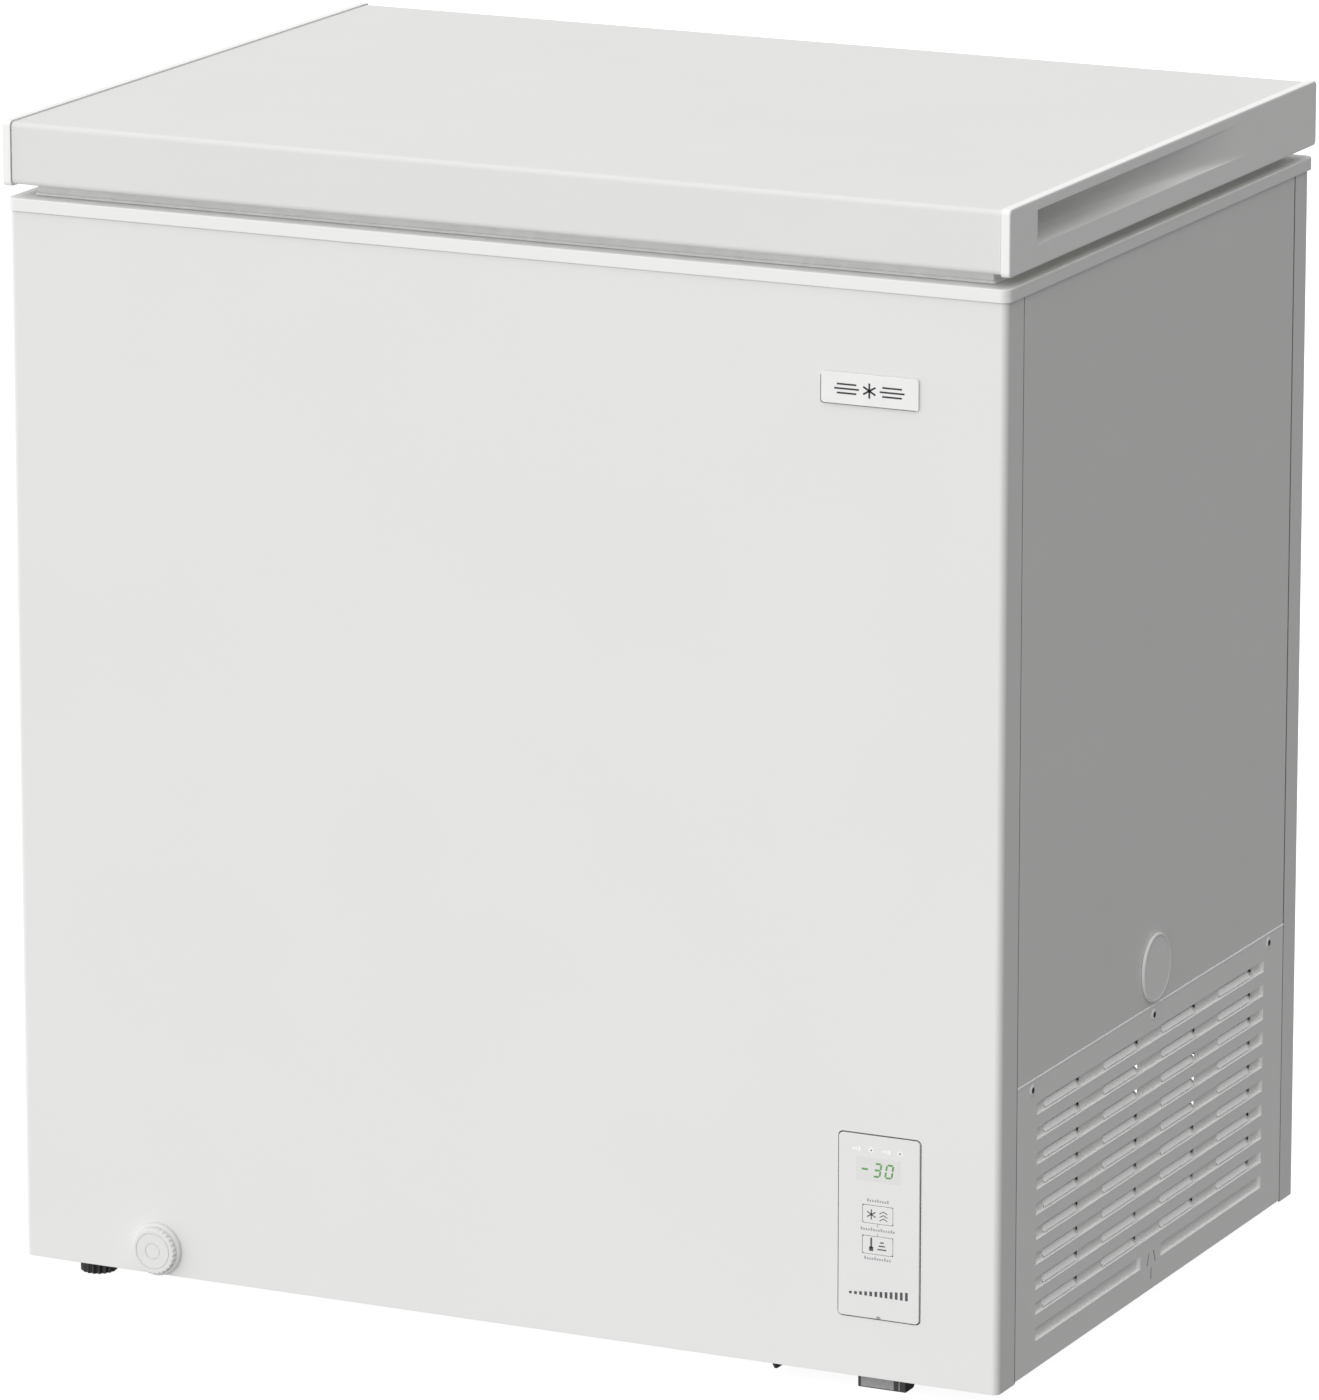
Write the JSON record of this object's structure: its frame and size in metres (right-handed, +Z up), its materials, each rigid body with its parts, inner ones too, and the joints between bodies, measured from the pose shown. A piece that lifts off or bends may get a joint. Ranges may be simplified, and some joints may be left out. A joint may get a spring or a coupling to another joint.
{
  "type": "chest freezer",
  "caption": "Compact chest freezer: white steel cabinet with rear-hinged lid, wire basket, stepped tub, louvred compressor grille, control panel and front drain.",
  "frame": {"origin": "bottom centre of the bounding box, on the floor under the middle of the freezer", "axes": "front faces -Y, +X is to the right as seen from the front, +Z is up"},
  "size_m": [0.8, 0.5954, 0.8745],
  "materials": {
    "white_paint": "satin",
    "white_plastic": "satin",
    "key_plastic": "satin",
    "liner": "satin",
    "lid_liner": "satin",
    "foam": "matte",
    "gasket": "matte",
    "black_plastic": "satin",
    "grommet_rubber": "matte",
    "black_paint": "satin",
    "zinc": "satin",
    "spring_steel": "satin",
    "badge_metal": "satin",
    "copper": "satin",
    "coil_steel": "satin",
    "display_window": "gloss",
    "display_module": "matte",
    "circuit_board": "satin",
    "basket_wire": "gloss"
  },
  "bodies": {
    "cabinet": {"front_panel": "white_paint", "rear_panel": "white_paint", "side_panel_left": "white_paint", "side_panel_right": "white_paint", "foam_hole_plug": "white_plastic", "top_trim": "white_plastic", "vent_grille": "white_plastic", "control_bezel": "white_plastic", "drain_bezel": "white_plastic", "inner_liner": "liner", "cabinet_foam": "foam", "compressor_relay_box": "black_plastic", "cord_inlet": "black_plastic", "block_foot_front": "black_plastic", "block_foot_rear": "black_plastic", "control_cover": "black_plastic", "drain_elbow": "black_plastic", "compressor_grommet_1": "grommet_rubber", "compressor_grommet_2": "grommet_rubber", "compressor_grommet_3": "grommet_rubber", "compressor_grommet_4": "grommet_rubber", "compressor_tray": "black_paint", "compressor_shell": "black_paint", "compressor_bracket": "black_paint", "base_pan": "zinc", "bay_wall": "zinc", "grille_screw_1": "zinc", "grille_screw_2": "zinc", "grille_screw_3": "zinc", "hinge_base_left": "zinc", "hinge_base_right": "zinc", "hinge_pin_left": "zinc", "hinge_pin_right": "zinc", "hinge_spring_left": "spring_steel", "hinge_spring_right": "spring_steel", "badge_plate": "badge_metal", "filter_drier": "copper", "suction_pipe": "copper", "discharge_pipe": "copper", "evaporator_coil": "coil_steel", "condenser_coil": "coil_steel", "display_window": "display_window", "display_module": "display_module", "control_board": "circuit_board"},
    "lid": {"lid_panel": "white_paint", "lid_cap_left": "white_plastic", "lid_cap_right": "white_plastic", "lid_foam": "foam", "lid_liner": "lid_liner", "lid_gasket": "gasket", "hinge_leaf_left": "zinc", "hinge_leaf_right": "zinc"},
    "boost_key": {"boost_key": "key_plastic"},
    "temperature_key": {"temperature_key": "key_plastic"},
    "drain_tube": {"drain_tube": "white_plastic"},
    "drain_cap": {"drain_cap": "white_plastic"},
    "drain_plug": {"drain_plug": "white_plastic"},
    "basket": {"basket": "basket_wire"},
    "foot_front": {"levelling_foot_front": "black_plastic"},
    "foot_rear": {"levelling_foot_rear": "black_plastic"}
  },
  "joints": [
    {"name": "lid_hinge", "type": "hinge", "parent": "cabinet", "child": "lid", "pos_m": [0, 0.28675, 0.825], "axis": [-1, 0, 0], "range_deg": [0, 80], "deforming": ["hinge_spring_left", "hinge_spring_right"]},
    {"name": "boost_key_press", "type": "slide", "parent": "cabinet", "child": "boost_key", "axis": [0, 1, 0], "range_m": [0, 0.0006], "stiffness_N_per_m": 1500, "springref_m": -0.0004},
    {"name": "temperature_key_press", "type": "slide", "parent": "cabinet", "child": "temperature_key", "axis": [0, 1, 0], "range_m": [0, 0.0006], "stiffness_N_per_m": 1500, "springref_m": -0.0004},
    {"name": "drain_tube_pull", "type": "slide", "parent": "cabinet", "child": "drain_tube", "axis": [0, -1, 0], "range_m": [0, 0.025]},
    {"name": "drain_cap_turn", "type": "hinge", "parent": "drain_tube", "child": "drain_cap", "pos_m": [-0.2845, -0.29325, 0.0325], "axis": [0, -1, 0], "range_deg": [0, 180]},
    {"name": "drain_plug_lift", "type": "slide", "parent": "cabinet", "child": "drain_plug", "axis": [0, 0, 1], "range_m": [0, 0.03]},
    {"name": "basket_slide", "type": "slide", "parent": "cabinet", "child": "basket", "axis": [1, 0, 0], "range_m": [0, 0.45]},
    {"name": "foot_front_turn", "type": "hinge", "parent": "cabinet", "child": "foot_front", "pos_m": [-0.35, -0.26175, 0.007], "axis": [0, 0, 1], "range_deg": [0, 360]},
    {"name": "foot_rear_turn", "type": "hinge", "parent": "cabinet", "child": "foot_rear", "pos_m": [-0.35, 0.24175, 0.007], "axis": [0, 0, 1], "range_deg": [0, 360]}
  ]
}
